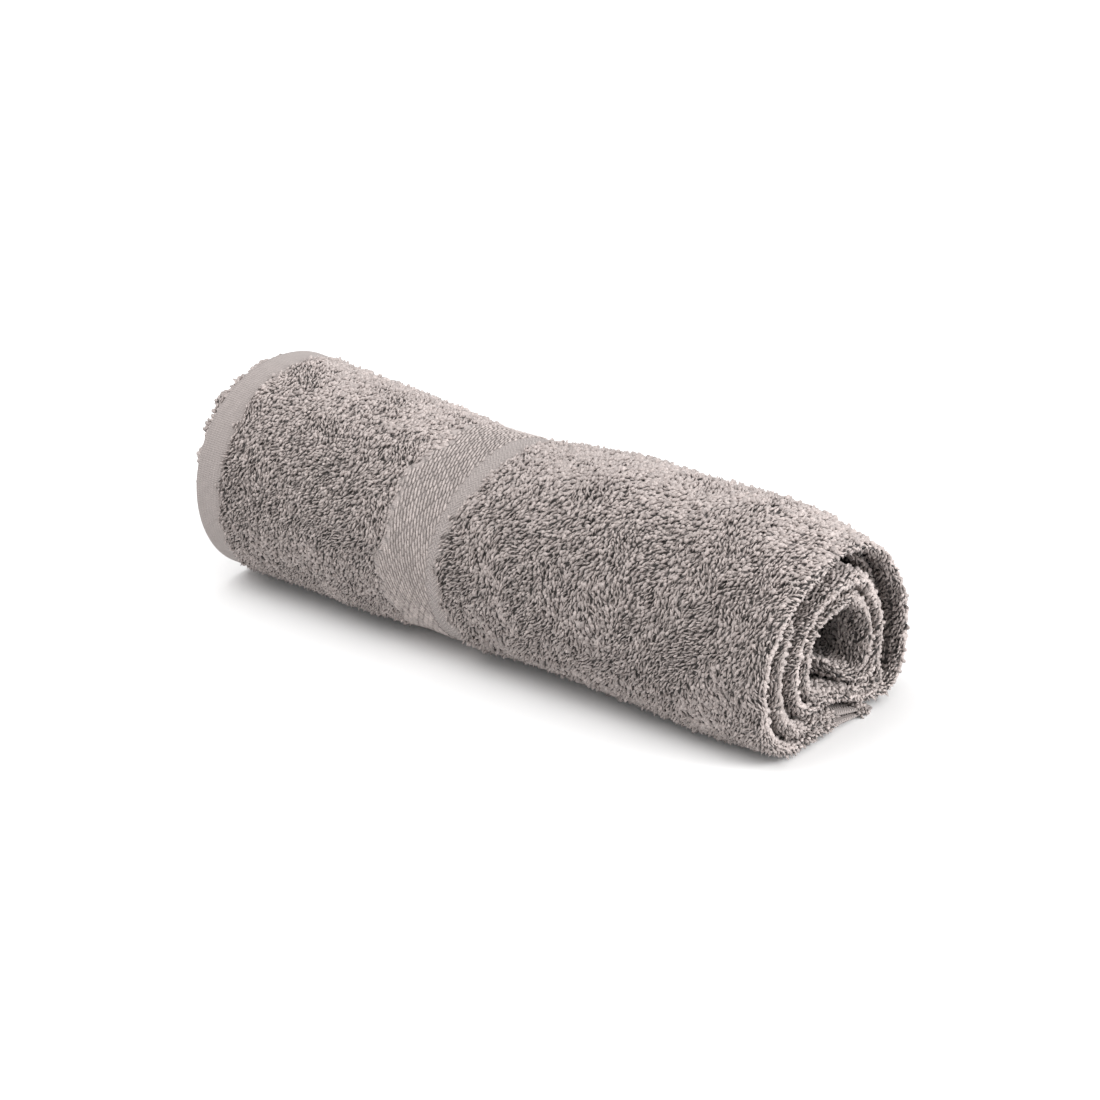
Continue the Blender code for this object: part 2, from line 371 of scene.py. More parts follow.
def windCloth():
    turns = sidePlaces()[:, None]
    x, weights, names = clothLines(turns)
    rings = np.broadcast_to(turns, x.shape)
    angle = windingAngle(rings)
    outer, thick = ribbonSides(rings, x)
    depth = (layerDepths(thick) * weights).sum(axis=-1)
    radius = outer - depth + lumpHeight(x, angle) * ease(thick / cloth["lumpsFrom"])
    y = sectionColumn("coreY", x) + radius * np.cos(angle)
    z = sectionColumn("coreZ", x) + radius * np.sin(angle)
    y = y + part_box("towel_roll")[0].y - solidFront()
    points = np.stack([x, y, z], axis=-1)
    around = np.gradient(points, axis=0)
    normals = np.cross(np.gradient(points, axis=1), around)
    normals /= np.linalg.norm(normals, axis=-1, keepdims=True)
    around /= np.linalg.norm(around, axis=-1, keepdims=True)
    hem, band = flatShare(x, rings)
    onEnd = np.isin(names, ("outer", "inner"))
    rise = (hem * cloth["hemRise"] + band * cloth["bandRise"]) * onEnd
    thin = np.minimum(1.0, (thick / cloth["fullFrom"]) ** cloth["thinning"])
    fromEdge = np.clip((x + halfLength) / cloth["edgeRound"], 0, 1)
    edge = np.sqrt(np.clip(1 - (1 - fromEdge) ** 2, cloth["edgeLeast"], 1))
    edge = np.where(onEnd, edge, 1.0)
    face = (cloth["halfThick"] + rise) * thin * edge
    back = (cloth["halfThick"] + cloth["backShare"] * rise) * thin * edge
    middle = points[:, len(outerStations) // 2]
    across = np.concatenate([[0], np.cumsum(np.linalg.norm(np.diff(middle, axis=0), axis=1))])
    ring = points[len(points) // 6]
    along = np.concatenate([[0], np.cumsum(np.linalg.norm(np.diff(ring, axis=0), axis=1))])
    (fromX, fromY), (fadeX, fadeY) = cloth["smoothFrom"], cloth["smoothFades"]
    smooth = ease((x - fromX) / fadeX) * ease((y - fromY) / fadeY) * ease((cloth["smoothTo"] - y) / fadeY)
    smooth = smooth * (z < cloth["smoothTop"]) * (rings < 1.0)
    fromEdges = np.where(onEnd, np.minimum(*fromFlat(x, rings)), 1.0)
    reach = cloth["flatReach"]
    u = along / along[-1] * cloth["length"]
    u[:len(outerStations)] = np.array(outerStations) * mm + halfLength
    u[-len(innerStations):] = cloth["length"] - halfLength - np.array(innerStations[::-1]) * mm
    return {
        "points": points, "normals": normals, "around": around, "face": face, "back": back,
        "names": names, "u": u, "v": across / across[-1] * cloth["width"], "turns": turns[:, 0], "x": x,
        "fromFlat": np.minimum(fromEdges, reach - 2.0 * reach * smooth),
        "intoBand": x - bandSides(rings)[0],
    }


def solidFront():                          # the winding's lowest y, before the solid was centred
    turns = np.linspace(0.0, 1.0, 361)[:, None]
    x = np.linspace(-halfLength, halfLength, 71)[None]
    rings, lines = np.broadcast_arrays(turns, x)
    radius = outerRadius(windingAngle(rings), lines)
    return float((sectionColumn("coreY", lines) + radius * np.cos(windingAngle(rings))).min())


wound = windCloth()
ringCount, lineCount = wound["x"].shape


def newMesh(name, vertices, faces):
    mesh = bpy.data.meshes.new(name)
    mesh.from_pydata(vertices, [], faces)
    mesh.update()
    obj = bpy.data.objects.new(name, mesh)
    bpy.context.scene.collection.objects.link(obj)
    return obj


def setAttribute(mesh, name, values, kind="FLOAT"):
    attribute = mesh.attributes.new(name, kind, "POINT")
    key = "vector" if kind == "FLOAT_VECTOR" else "value"
    attribute.data.foreach_set(key, values.ravel().astype(np.float32))


def buildCloth():
    outside = wound["points"] + wound["normals"] * wound["face"][..., None]
    inside = wound["points"] - wound["normals"] * wound["back"][..., None]
    vertices = np.concatenate([outside.reshape(-1, 3), inside.reshape(-1, 3)])
    vertices[:, 2] = np.maximum(vertices[:, 2], floorGap)
    index = np.arange(ringCount * lineCount).reshape(ringCount, lineCount)
    under = index + ringCount * lineCount
    quad = np.stack([index[:-1, :-1], index[:-1, 1:], index[1:, 1:], index[1:, :-1]], axis=-1).reshape(-1, 4)
    below = (quad + ringCount * lineCount)[:, ::-1]
    edges = []
    for top, low in ((index[0], under[0]), (index[-1][::-1], under[-1][::-1]),
                     (index[::-1, 0], under[::-1, 0]), (index[:, -1], under[:, -1])):
        edges.append(np.stack([top[1:], top[:-1], low[:-1], low[1:]], axis=-1))
    faces = np.concatenate([quad, below] + edges)
    obj = newMesh("towel_cloth", vertices.tolist(), faces.tolist())
    layer = obj.data.uv_layers.new(name="clothUV")
    corner = np.empty(len(obj.data.loops), int)
    obj.data.loops.foreach_get("vertex_index", corner)
    place = corner % (ringCount * lineCount)
    uv = np.stack([wound["u"][place % lineCount], wound["v"][place // lineCount]], axis=-1)
    layer.data.foreach_set("uv", uv.ravel())
    setAttribute(obj.data, "fromFlat", np.tile(wound["fromFlat"].ravel(), 2))
    setAttribute(obj.data, "intoBand", np.tile(wound["intoBand"].ravel(), 2))
    obj.data.shade_smooth()
    return obj


towelCloth = buildCloth()
print("cloth wound:", len(towelCloth.data.polygons), "faces")


# Geometry Nodes and shader trees are written with the same small helpers

class Value:                               # a socket that takes part in sums
    def __init__(self, tree, socket):
        self.tree, self.socket = tree, socket

    def __add__(self, other):
        return self.tree.math("ADD", self, other)

    def __radd__(self, other):
        return self.tree.math("ADD", other, self)

    def __sub__(self, other):
        return self.tree.math("SUBTRACT", self, other)

    def __rsub__(self, other):
        return self.tree.math("SUBTRACT", other, self)

    def __mul__(self, other):
        return self.tree.math("MULTIPLY", self, other)

    def __rmul__(self, other):
        return self.tree.math("MULTIPLY", other, self)

    def __pow__(self, other):
        return self.tree.math("POWER", self, other)


class Tree:
    def __init__(self, nodeTree):
        self.nodeTree = nodeTree

    def node(self, kind, settings=None, sockets=None, output=0):
        made = self.nodeTree.nodes.new(kind)
        for key, value in (settings or {}).items():
            if key == "stops":
                ramp = made.color_ramp
                while len(ramp.elements) < len(value):
                    ramp.elements.new(0.5)
                for element, (position, colour) in zip(ramp.elements, value):
                    element.position = position
                    element.color = (*colour, 1.0)
            else:
                setattr(made, key, value)
        for key, value in (sockets or {}).items():
            if isinstance(value, Value):
                self.nodeTree.links.new(value.socket, made.inputs[key])
            else:
                made.inputs[key].default_value = value
        self.made = made
        return Value(self, made.outputs[output]) if made.outputs else None

    def out(self, output):                 # another output of the node made last
        return Value(self, self.made.outputs[output])

    def math(self, operation, *values):
        return self.node("ShaderNodeMath", {"operation": operation}, dict(enumerate(values)))

    def vector(self, operation, first, second):
        sockets = {0: first, 3: second} if operation == "SCALE" else {0: first, 1: second}
        return self.node("ShaderNodeVectorMath", {"operation": operation}, sockets)

    def noise(self, place, scale, detail):
        return self.node("ShaderNodeTexNoise", None, {"Vector": place, "Scale": scale, "Detail": detail})

    def attribute(self, name, kind="FLOAT"):
        return self.node("GeometryNodeInputNamedAttribute", {"data_type": kind}, {"Name": name})

    def compare(self, operation, first, second):
        settings = {"data_type": "FLOAT", "operation": operation}
        return self.node("FunctionNodeCompare", settings, {0: first, 1: second})

    def both(self, first, second):
        return self.node("FunctionNodeBooleanMath", {"operation": "AND"}, {0: first, 1: second})

    def mixed(self, factor, first, second):        # of two colours
        sockets = {"Factor": factor, "A": first, "B": second}
        return self.node("ShaderNodeMix", {"data_type": "RGBA"}, sockets, 2)

    def shaded(self, name):                # an attribute of the mesh, in a material
        return self.node("ShaderNodeAttribute", {"attribute_name": name}, output="Fac")


def newGroup(name, source, result, kinds):
    # a tree with one geometry in and one out, and its sizes as named inputs
    group = bpy.data.node_groups.new(name, "GeometryNodeTree")
    for socket, kind in {source: "Geometry", **kinds}.items():
        group.interface.new_socket(socket, in_out="INPUT", socket_type="NodeSocket" + kind)
    group.interface.new_socket(result, in_out="OUTPUT", socket_type="NodeSocketGeometry")
    tree = Tree(group)
    given = tree.node("NodeGroupInput")
    return tree, given, {socket: tree.out(socket) for socket in kinds}


def facingRotation(tree, up, way):         # Z along up, X towards way
    stand = tree.node("FunctionNodeAlignRotationToVector", {"axis": "Z"}, {"Vector": up})
    return tree.node(
        "FunctionNodeAlignRotationToVector", {"axis": "X", "pivot_axis": "Z"},
        {"Rotation": stand, "Vector": way})


def closeGroup(tree, instances, shade, cotton, result):
    # each instance keeps its own shade, then all are made real and get their material
    shaded = tree.node(
        "GeometryNodeStoreNamedAttribute", {"data_type": "FLOAT", "domain": "INSTANCE"},
        {"Geometry": instances, "Name": "loopShade", "Value": shade})
    real = tree.node("GeometryNodeRealizeInstances", None, {"Geometry": shaded})
    done = tree.node("GeometryNodeSetMaterial", None, {"Geometry": real, "Material": cotton})
    tree.node("NodeGroupOutput", None, {result: done})
    return tree.nodeTree


def newMaterial(name, values):             # with plain values by socket name
    material = bpy.data.materials.new(name)
    material.use_nodes = True
    shader = material.node_tree.nodes["Principled BSDF"]
    for key, value in values.items():
        shader.inputs[key].default_value = value
    return material, Tree(material.node_tree), shader


# The pile: loops of yarn that stand on the ground of the cloth

pile = {
    "spacing": 1.36 * mm,
    "crowding": 2400000.0,                 # tries for each square metre
    "seed": 7,
    "combAngle": -0.3,
    "patchSpread": 3.8,
    "patchSize": 45.0,                     # patches of like lean for each metre
    "spread": 0.5,
    "lean": 0.5,
    "forwardLean": 0.3,
    "smallest": 0.8,
    "largest": 1.15,
    "stretch": 0.5,                        # how much longer the loops are in the combed patches
    "stretchFrom": 0.45,
    "stretchSize": 0.6,                    # of these patches, as a share of the others' size
    "raggedSize": 220.0,                   # of the ragged edges' waves, for each metre
    "sunk": 0.8,                           # how deep their feet go into the ground, in mm
    "endRise": 0.35,                       # height of a loop's ends, as a share of its own
    # the loops' colours: the dark root colour is painted shade between the loops, the lighter tip colour a
    # painted highlight on their crests
    "tipColour": (0.51, 0.447, 0.426),
    "sideColour": (0.45, 0.392, 0.372),
    "rootColour": (0.022, 0.018, 0.017),
    "paleRootShade": (0.065, 0.056, 0.053),  # lighter painted shade at the roots, for the pile on the hem's side of the band
    "endTip": (0.44, 0.385, 0.366),        # on the folded end: dimmer painted highlight at the crests, lighter painted shade at the roots
    "endSide": (0.41, 0.357, 0.338),
    "endRoot": (0.036, 0.028, 0.024),
    "hollowShadeShare": 0.45,                     # how much of its colours the yarn keeps deep in the hollow: painted shade
    "rootAt": 0.26,                        # heights at which these colours are reached
    "sideAt": 0.45,
    "tipAt": 0.95,
    "fibres": 1500.0,                      # for each metre
    "fibreContrast": 1.2,
    "darkest": 0.82,                       # how light the darkest loops are
    "shades": 0.36,                        # and how much lighter the lightest
    "roughness": 0.85,
    "sheen": 0.1,
    "underneath": 0.15,                    # how thickly loops grow where they lie on the floor
    "underBelow": 6.0 * mm,
    "underFacing": -0.9,
    "overhang": 1.2 * mm,                  # how far the pile reaches over the hem and the band
    "groundReach": 12.0 * mm,              # how far its ground goes on under them
    "sideMargin": 2.5 * mm,                # bare edge of the side that lies outside
    "sideFade": 1.5 * mm,
    "outerTurns": 1.03,                    # the turns that show from outside
    "hollowTurns": 0.95,                   # and where the turns that face the hollow start
    "rimReach": 14.0 * mm,
    "hollowReach": 42.0 * mm,
    "farReach": 5.0 * mm,
}
loopShapes = {                             # length, width, height, sideways bend, in mm
    "even": (3.5, 1.20, 2.3, 0.25),
    "long": (4.1, 1.10, 2.1, -0.50),
    "round": (2.8, 1.35, 2.4, 0.10),
    "bent": (3.6, 1.10, 2.4, 0.70),
    "low": (3.6, 1.20, 2.0, -0.35),
    "tall": (3.0, 1.15, 2.6, -0.20),
    "stray": (3.2, 0.95, 3.5, 0.80),
}


def ridgeMesh(name, length, width, height, bend, low, endRise):
    # a ridge of yarn in mm: three rings of three points between two ends, with how high each point is
    t = np.linspace(-1.0, 1.0, 5)
    x, y = t * length / 2, bend * (1 - t ** 2)
    vertices = [(x[0], y[0], low + endRise * height)]
    for i in (1, 2, 3):
        share = math.sqrt(1.0 - (0.9 * t[i]) ** 2)
        half = width / 2 * share
        top = low + height * (endRise + (1 - endRise) * share)
        vertices += [(x[i], y[i] - half, low), (x[i], y[i], top), (x[i], y[i] + half, low)]
    vertices.append((x[4], y[4], low + endRise * height))
    faces = []
    for k in range(3):
        beside = (k + 1) % 3
        faces.append((0, 1 + beside, 1 + k))
        faces += [(i + k, i + beside, i + 3 + beside, i + 3 + k) for i in (1, 4)]
        faces.append((7 + k, 7 + beside, 10))
    vertices = np.array(vertices)
    obj = newMesh(name, (vertices * mm).tolist(), faces)
    obj.data.shade_smooth()
    setAttribute(obj.data, "tip", (vertices[:, 2] - low) / height)
    return obj


def buildLoop(name, length, width, height, bend):
    return ridgeMesh(f"loop_{name}", length, width, height, bend, -pile["sunk"], pile["endRise"])


def inCollection(name, objects):
    collection = bpy.data.collections.new(name)
    bpy.context.scene.collection.children.link(collection)
    for obj in objects:
        bpy.context.scene.collection.objects.unlink(obj)
        collection.objects.link(obj)
    return collection


loopCollection = inCollection("loopShapes", [buildLoop(name, *shape) for name, shape in loopShapes.items()])


def emitter(name, lines, side, share):
    # faces of the cloth from which loops grow, with how thickly and the way around the roll
    offset = wound["normals"] * (wound["face"] if side > 0 else -wound["back"])[..., None]
    points = (wound["points"] + offset)[:, lines]
    share = share[:, lines]
    index = np.arange(points.shape[0] * points.shape[1]).reshape(points.shape[:2])
    quad = np.stack([index[:-1, :-1], index[:-1, 1:], index[1:, 1:], index[1:, :-1]], axis=-1).reshape(-1, 4)
    quad = quad[share.ravel()[quad].max(axis=1) > 0]
    if side < 0:
        quad = quad[:, ::-1]
    obj = newMesh(name, points.reshape(-1, 3).tolist(), quad.tolist())
    obj.data.shade_smooth()
    setAttribute(obj.data, "pileShare", share)
    setAttribute(obj.data, "fromFlat", wound["fromFlat"][:, lines])
    setAttribute(obj.data, "around", wound["around"][:, lines], "FLOAT_VECTOR")
    return obj


def pileEmitters():
    x, turns, names = wound["x"], wound["turns"][:, None], wound["names"]
    v = wound["v"][:, None]
    fade = pile["sideFade"]
    inSide = ease((v - pile["sideMargin"]) / fade) * ease((cloth["width"] - cloth["sideHem"] - v) / fade)
    pileOnly = (wound["fromFlat"] > -pile["groundReach"]) * (inSide > 0.5)
    near = foldedEnd(turns)
    onTop = np.isin(names, ("outer", "firstNose"))
    lowest = wound["points"][..., 2] < pile["underBelow"]
    facing = wound["normals"][..., 2] < pile["underFacing"]
    outerShare = pileOnly * np.where(lowest & facing, pile["underneath"], 1.0) * (turns < pile["outerTurns"])
    rimShare = pileOnly * (x > near - pile["rimReach"] - innerFoldBack(turns))
    hollowShare = pileOnly * (x > near - pile["hollowReach"]) * (turns > pile["hollowTurns"])
    deeper = (turns >= pile["outerTurns"]) * rimShare
    farShare = (x < -halfLength + pile["farReach"]) * (inSide > 0.5)
    every = np.arange(lineCount)
    firstLines = every[onTop]
    rimLines = every[np.isin(names, ("firstNose", "second", "third", "secondNose"))]
    innerLines = every[np.isin(names, ("secondNose", "inner"))]
    farLines = every[np.isin(names, ("second", "farNose", "third"))]
    noNose = np.where(np.isin(names, ("firstNose", "secondNose")), 0.0, 1.0)
    return {
        "outside": emitter("outsideGround", firstLines, 1, np.maximum(outerShare, deeper)),
        "rims": emitter("rimGround", rimLines, 1, rimShare * np.where(names == "firstNose", 0.0, 1.0)),
        "hollow": emitter("hollowGround", innerLines, 1, np.maximum(hollowShare, rimShare) * noNose),
        "farEnd": emitter("farGround", farLines, -1, farShare),
    }


def pileTree():
    sizes = (
        "Spacing", "Crowding", "From X", "To X", "Comb Angle", "Patch Spread", "Patch Size", "Spread", "Lean",
        "Smallest", "Largest", "Stretch", "Overhang", "Ragged",
    )
    kinds = {"Loops": "Collection", "Cotton": "Material", "Seed": "Int", **dict.fromkeys(sizes, "Float")}
    tree, ground, given = newGroup("growPile", "Ground", "Pile", kinds)
    scatter = tree.node(
        "GeometryNodeDistributePointsOnFaces", {"distribute_method": "POISSON"},
        {"Mesh": ground, "Distance Min": given["Spacing"], "Density Max": given["Crowding"],
         "Density Factor": tree.attribute("pileShare"), "Seed": given["Seed"]})
    normal = tree.out("Normal")
    position = tree.node("GeometryNodeInputPosition")
    tree.node("ShaderNodeSeparateXYZ", None, {0: position})
    x = tree.out("X")
    after = tree.compare("GREATER_EQUAL", x, given["From X"])
    inRange = tree.both(after, tree.compare("LESS_THAN", x, given["To X"]))
    ragged = tree.noise(position, pile["raggedSize"], 0.0) - 0.5
    reach = tree.attribute("fromFlat") + given["Overhang"] + ragged * given["Ragged"]
    kept = tree.both(inRange, tree.compare("GREATER_THAN", reach, 0.0))
    points = tree.node(
        "GeometryNodeSeparateGeometry", {"domain": "POINT"}, {"Geometry": scatter, "Selection": kept})

    def chance(low, high, seed, kind="FLOAT"):
        first, last, output = {"FLOAT": (2, 3, 1), "INT": (4, 5, 2)}[kind]
        sockets = {first: low, last: high, "Seed": seed}
        return tree.node("FunctionNodeRandomValue", {"data_type": kind}, sockets, output)

    around = tree.attribute("around", "FLOAT_VECTOR")
    beside = tree.vector("CROSS_PRODUCT", normal, around)
    patches = tree.noise(position, given["Patch Size"], 1.0)
    angle = given["Comb Angle"] + (patches - 0.5) * given["Patch Spread"]
    angle = angle + chance(-1.0, 1.0, 11) * given["Spread"]
    along = tree.vector("SCALE", around, tree.math("COSINE", angle))
    way = tree.vector("ADD", along, tree.vector("SCALE", beside, tree.math("SINE", angle)))
    across = tree.vector("CROSS_PRODUCT", normal, way)
    tilt = tree.vector("SCALE", across, chance(-1.0, 1.0, 23) * given["Lean"])
    forward = tree.vector("SCALE", way, chance(-pile["forwardLean"], pile["forwardLean"], 37))
    up = tree.vector("ADD", tree.vector("ADD", normal, tilt), forward)
    turned = facingRotation(tree, up, way)
    shapes = tree.node(
        "GeometryNodeCollectionInfo", None,
        {"Collection": given["Loops"], "Separate Children": True, "Reset Children": True})
    combed = tree.noise(position, given["Patch Size"] * pile["stretchSize"], 0.0)
    longer = 1.0 + (combed - pile["stretchFrom"]) * given["Stretch"]
    size = tree.node("ShaderNodeCombineXYZ", None, {0: longer, 1: 1.0, 2: 1.0})
    size = tree.vector("SCALE", size, chance(given["Smallest"], given["Largest"], 53))
    loops = tree.node(
        "GeometryNodeInstanceOnPoints", None,
        {"Points": points, "Instance": shapes, "Pick Instance": True,
         "Instance Index": chance(0, len(loopShapes) - 1, 41, "INT"), "Rotation": turned, "Scale": size})
    return closeGroup(tree, loops, chance(0.0, 1.0, 67), given["Cotton"], "Pile")


def pieceFrom(source, tree, values, name):
    # runs the tree on the source once and keeps the result as a plain mesh
    modifier = source.modifiers.new("grow", "NODES")
    modifier.node_group = tree
    sockets = {item.name: item.identifier for item in tree.interface.items_tree if item.in_out == "INPUT"}
    for key, value in values.items():
        modifier[sockets[key]] = value
    source.update_tag()
    bpy.context.view_layer.update()
    evaluated = source.evaluated_get(bpy.context.evaluated_depsgraph_get())
    mesh = bpy.data.meshes.new_from_object(evaluated)
    source.modifiers.remove(modifier)
    mesh.name = name
    obj = bpy.data.objects.new(name, mesh)
    bpy.context.scene.collection.objects.link(obj)
    co = np.empty(len(mesh.vertices) * 3, np.float32)
    mesh.vertices.foreach_get("co", co)
    co = co.reshape(-1, 3)
    co[:, 2] = np.maximum(co[:, 2], floorGap)
    mesh.vertices.foreach_set("co", co.ravel())
    mesh.update()
    return obj


def cottonYarn(name, colours):
    plain = {"Roughness": pile["roughness"], "Sheen Weight": pile["sheen"]}
    material, tree, shader = newMaterial(name, plain)
    place = tree.node("ShaderNodeTexCoord", output="Object")
    fibre = tree.noise(place, pile["fibres"], 2.0)
    # the colour follows the height on the loop: painted shade at the roots, painted highlight at the crests
    stops = [(colours[part + "At"], colours[part + "Colour"]) for part in ("root", "side", "tip")]
    colour = tree.node("ShaderNodeValToRGB", {"stops": stops}, {"Fac": tree.shaded("tip")})
    shade = pile["darkest"] + pile["shades"] * tree.shaded("loopShade")
    colour = tree.vector("SCALE", colour, shade * (1.0 + (fibre - 0.5) * pile["fibreContrast"]))
    tree.nodeTree.links.new(colour.socket, shader.inputs["Base Color"])
    return material


end = {"tipColour": pile["endTip"], "sideColour": pile["endSide"], "rootColour": pile["endRoot"]}
# the yarn deep in the hollow: every colour darkened, painted shade where little light reaches
deep = {key: tuple(c * pile["hollowShadeShare"] for c in pile[key]) for key in end}
yarns = {
    "fullShade": cottonYarn("cottonYarn", pile),
    # a copy whose painted shade at the loops' roots is lighter
    "paleShade": cottonYarn("paleShadeYarn", {**pile, "rootColour": pile["paleRootShade"]}),
    # a copy with softer painted highlight and painted shade, for the folded end
    "end": cottonYarn("endYarn", {**pile, **end}),
    "deep": cottonYarn("hollowShadeYarn", {**pile, **deep}),
}
grounds = pileEmitters()
grow = pileTree()
pilePieces = {                             # ground, from x, to x, closeness, ragged edge (in mm), yarn
    "pile_hem_side": ("outside", -176.0, -108.0, 0.86, 4.5, "paleShade"),
    "pile_band_side": ("outside", -108.0, -40.0, 0.88, 10.0, "paleShade"),
    "pile_middle": ("outside", -40.0, 40.0, 0.95, 6.0, "fullShade"),
    "pile_fold_side": ("outside", 40.0, 120.0, 1.0, 0.0, "fullShade"),
    "pile_rim": ("outside", 120.0, 180.0, 1.0, 0.0, "fullShade"),
    "pile_cracks": ("rims", 0.0, 180.0, 1.0, 0.0, "end"),
    # deep in the hollow the loops carry painted shade
    "pile_deep": ("hollow", 0.0, 156.0, 1.0, 0.0, "deep"),
    "pile_hollow": ("hollow", 156.0, 180.0, 1.0, 0.0, "end"),
    "pile_far_fold": ("farEnd", -190.0, 0.0, 1.0, 0.0, "fullShade"),
}
pieces = []
for name, (ground, start, end, closeness, ragged, kind) in pilePieces.items():
    piece = pieceFrom(grounds[ground], grow, {
        "Loops": loopCollection, "Cotton": yarns[kind], "Seed": pile["seed"],
        "Spacing": pile["spacing"] * closeness, "Crowding": pile["crowding"],
        "From X": start * mm, "To X": end * mm, "Comb Angle": pile["combAngle"],
        "Patch Spread": pile["patchSpread"], "Patch Size": pile["patchSize"],
        "Spread": pile["spread"], "Lean": pile["lean"], "Stretch": pile["stretch"],
        "Smallest": pile["smallest"] * closeness, "Largest": pile["largest"] * closeness,
        "Overhang": pile["overhang"], "Ragged": ragged * mm,
    }, name)
    pieces.append(piece)
    triangles = sum(len(face.vertices) - 2 for face in piece.data.polygons)
    print(name, len(piece.data.polygons), "faces", triangles, "triangles")
for ground in grounds.values():
    bpy.data.objects.remove(ground)
for obj in list(loopCollection.objects):
    bpy.data.objects.remove(obj)
bpy.data.collections.remove(loopCollection)


# The woven band: columns of short oblique floats, each a low ridge of yarn

band = {
    "ridgePitch": 1.6 * mm,                # floats in line make ridges, a little aslant to the band
    "floatPitch": 3.4 * mm,
    "ridgesFrom": -56.0 * mm,
    "ridgesTo": -27.0 * mm,
    "margin": 3.0 * mm,                    # plain stretch along the band's first edge
    "length": 5.2,                         # of a float, in mm
    "width": 2.0,
    "height": 0.95,
    "sunk": 0.15,
    "slant": math.radians(19.0),
    "scatter": 0.08,
    "endRise": 0.38,                       # height of a float's ends, as a share of its own
    "wander": 0.18,                        # how unevenly the floats follow each other
    "wanderWaves": (2.4, 0.7),             # from float to float, from column to column
    "smallest": 0.92,
    "largest": 1.08,
    "seed": 19,
    "draws": 10000,                        # more than there are floats, so each draw has numbers of its own
    # the floats' colours: the dark root colour is painted shade at their feet, the lighter tip a slight
    # painted highlight
    "tipColour": (0.425, 0.373, 0.354),
    "sideColour": (0.405, 0.355, 0.337),
    "rootColour": (0.22, 0.192, 0.183),
    "rootAt": 0.12,
    "sideAt": 0.34,
    "tipAt": 0.95,
}


def bandPoints():
    # points on the outer layer, with the cloth's normal and the way of the float
    last = int(np.searchsorted(wound["turns"], pile["outerTurns"]))
    v = wound["v"][:last]
    start, end = bandSides(wound["turns"][:last])
    count = len(outerStations)
    surface = (wound["points"] + wound["normals"] * wound["face"][..., None])[:last, :count]
    lines = wound["x"][:last, :count]
    places, normals, ways = [], [], []
    ahead = band["floatPitch"] * math.cos(band["slant"])
    aside = band["floatPitch"] * math.sin(band["slant"])
    pitch = band["ridgePitch"] / math.sin(band["slant"])
    alongWave, acrossWave = band["wanderWaves"]
    rings = np.arange(last)
    for column, across in enumerate(np.arange(band["ridgesTo"], band["ridgesFrom"], -aside)):
        first = (v[0] + cloth["sideHem"] + column * ahead) % pitch
        for ridge, step in enumerate(np.arange(first, v[-1], pitch)):
            step += band["wander"] * ahead * math.sin(alongWave * ridge + acrossWave * column)
            ring = float(np.interp(step, v, rings))
            low = min(int(ring), last - 2)
            share = ring - low
            opening = float(np.interp(ring, rings, start)) + band["margin"]
            closing = float(np.interp(ring, rings, end)) - band["margin"]
            if not opening < across < closing or step < cloth["sideHem"]:
                continue
            line = float(np.interp(across, lines[low], np.arange(count)))
            side = min(int(line), count - 2)
            part = line - side
            weights = ((1 - share) * (1 - part), (1 - share) * part, share * (1 - part), share * part)
            corners = ((low, side), (low, side + 1), (low + 1, side), (low + 1, side + 1))
            places.append(sum(w * surface[c] for w, c in zip(weights, corners)))
            normal = sum(w * wound["normals"][c] for w, c in zip(weights, corners))
            around = sum(w * wound["around"][c] for w, c in zip(weights, corners))
            normals.append(normal / np.linalg.norm(normal))
            beside = np.cross(normals[-1], around)
            ways.append(around * math.cos(band["slant"]) + beside * math.sin(band["slant"]))
    obj = newMesh("bandPoints", [tuple(p) for p in places], [])
    setAttribute(obj.data, "up", np.array(normals), "FLOAT_VECTOR")
    setAttribute(obj.data, "way", np.array(ways), "FLOAT_VECTOR")
    return obj


def floatTree():
    sizes = ("Smallest", "Largest", "Scatter")
    kinds = {"Float": "Object", "Cotton": "Material", "Seed": "Int", **dict.fromkeys(sizes, "Float")}
    tree, points, given = newGroup("weaveFloats", "Points", "Floats", kinds)
    number = tree.node("GeometryNodeInputIndex")

    def chance(low, high, draw):           # a draw of its own for each float
        own = number + draw * band["draws"] if draw else number
        sockets = {2: low, 3: high, "ID": own, "Seed": given["Seed"]}
        return tree.node("FunctionNodeRandomValue", {"data_type": "FLOAT"}, sockets, 1)

    up, way = tree.attribute("up", "FLOAT_VECTOR"), tree.attribute("way", "FLOAT_VECTOR")
    across = tree.vector("CROSS_PRODUCT", up, way)
    beside = tree.vector("SCALE", across, chance(-1.0, 1.0, 0) * given["Scatter"])
    turned = facingRotation(tree, up, tree.vector("ADD", way, beside))
    size = chance(given["Smallest"], given["Largest"], 1)
    shape = tree.node("GeometryNodeObjectInfo", None, {"Object": given["Float"]}, "Geometry")
    floats = tree.node(
        "GeometryNodeInstanceOnPoints", None,
        {"Points": points, "Instance": shape, "Rotation": turned, "Scale": size})
    return closeGroup(tree, floats, chance(0.0, 1.0, 2), given["Cotton"], "Floats")


floatShape = ridgeMesh(
    "weaveFloat", band["length"], band["width"], band["height"], 0.0, -band["sunk"], band["endRise"])
floatPlaces = bandPoints()
bandFloats = pieceFrom(floatPlaces, floatTree(), {
    "Float": floatShape, "Cotton": cottonYarn("bandYarn", band), "Seed": band["seed"],
    "Smallest": band["smallest"], "Largest": band["largest"], "Scatter": band["scatter"],
}, "band_floats")
bpy.data.objects.remove(floatPlaces)
bpy.data.objects.remove(floatShape)
pieces.append(bandFloats)
print("band floats:", len(bandFloats.data.polygons), "faces")


# The flat-woven stretches and the ground of the pile share one finish, laid out by the cloth's own UV map

